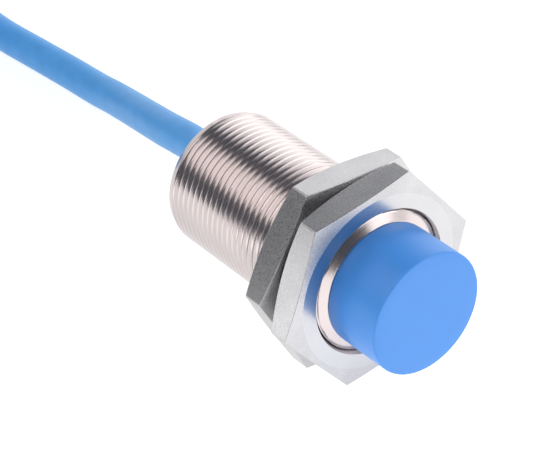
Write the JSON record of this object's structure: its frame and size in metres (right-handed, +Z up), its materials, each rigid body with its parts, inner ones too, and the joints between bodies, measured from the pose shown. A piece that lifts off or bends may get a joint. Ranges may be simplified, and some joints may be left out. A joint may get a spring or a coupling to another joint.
{
  "type": "inductive proximity sensor",
  "caption": "Cylindrical inductive proximity sensor with a threaded metal barrel, a protruding blue sensing cap, two hex nuts and a blue cable folded into a tied hank.",
  "frame": {"origin": "centre of the cap's flat sensing face", "axes": "+X along the barrel's axis, out of the sensing face; +Z up from the surface that the nuts and the hank lie on"},
  "size_m": [0.212, 0.0452, 0.0272],
  "materials": {
    "plated_barrel": "bright nickel plating over brass, turned thread",
    "plated_nut": "nickel plating over brass, satin flats",
    "blue_plastic": "fine satin moulded plastic",
    "blue_jacket": "soft satin flexible plastic jacket",
    "ferrite": "dark grey sintered ferrite",
    "bobbin_plastic": "natural plastic",
    "copper_wire": "enamelled copper wire",
    "holder_plastic": "black plastic",
    "board_laminate": "green solder mask over glass laminate",
    "chip_plastic": "matt black moulding compound",
    "capacitor_ceramic": "brown ceramic with tinned ends",
    "resistor_ceramic": "black glaze over white ceramic",
    "tinned_copper": "tinned copper strands",
    "solder": "bright solder",
    "sleeve_film": "translucent insulating film",
    "potting_resin": "amber casting resin",
    "grommet_rubber": "black rubber",
    "crimp_metal": "bare brass",
    "brown_insulation": "brown flexible plastic",
    "blue_insulation": "blue flexible plastic",
    "tie_plastic": "natural white nylon"
  },
  "bodies": {
    "barrel": {"threaded_barrel": "plated_barrel", "sensing_cap": "blue_plastic", "ferrite_core": "ferrite", "coil_bobbin": "bobbin_plastic", "sensing_coil": "copper_wire", "coil_leads": "copper_wire", "core_holder": "holder_plastic", "circuit_board": "board_laminate", "oscillator_chip": "chip_plastic", "transistors": "chip_plastic", "capacitors": "capacitor_ceramic", "resistors": "resistor_ceramic", "protection_diode": "chip_plastic", "conductor_ends": "tinned_copper", "solder_joints": "solder", "insulating_sleeve": "sleeve_film", "potting_compound": "potting_resin", "rear_plug": "blue_plastic", "cable_grommet": "grommet_rubber", "crimp_ring": "crimp_metal", "cable_entry": "blue_jacket", "brown_core": "brown_insulation", "blue_core": "blue_insulation", "cable_lead": "blue_jacket", "cable_hank": "blue_jacket", "hank_ties": "tie_plastic", "cable_tail": "blue_jacket", "brown_core_end": "brown_insulation", "blue_core_end": "blue_insulation", "core_tips": "tinned_copper"},
    "front_nut": {"front_nut": "plated_nut"},
    "rear_nut": {"rear_nut": "plated_nut"}
  },
  "joints": [
    {"name": "front_nut_travel", "type": "slide", "parent": "barrel", "child": "front_nut", "axis": [1, 0, 0], "range_m": [-0.0003, 0.003]},
    {"name": "rear_nut_travel", "type": "slide", "parent": "barrel", "child": "rear_nut", "axis": [1, 0, 0], "range_m": [-0.02, 0]}
  ]
}
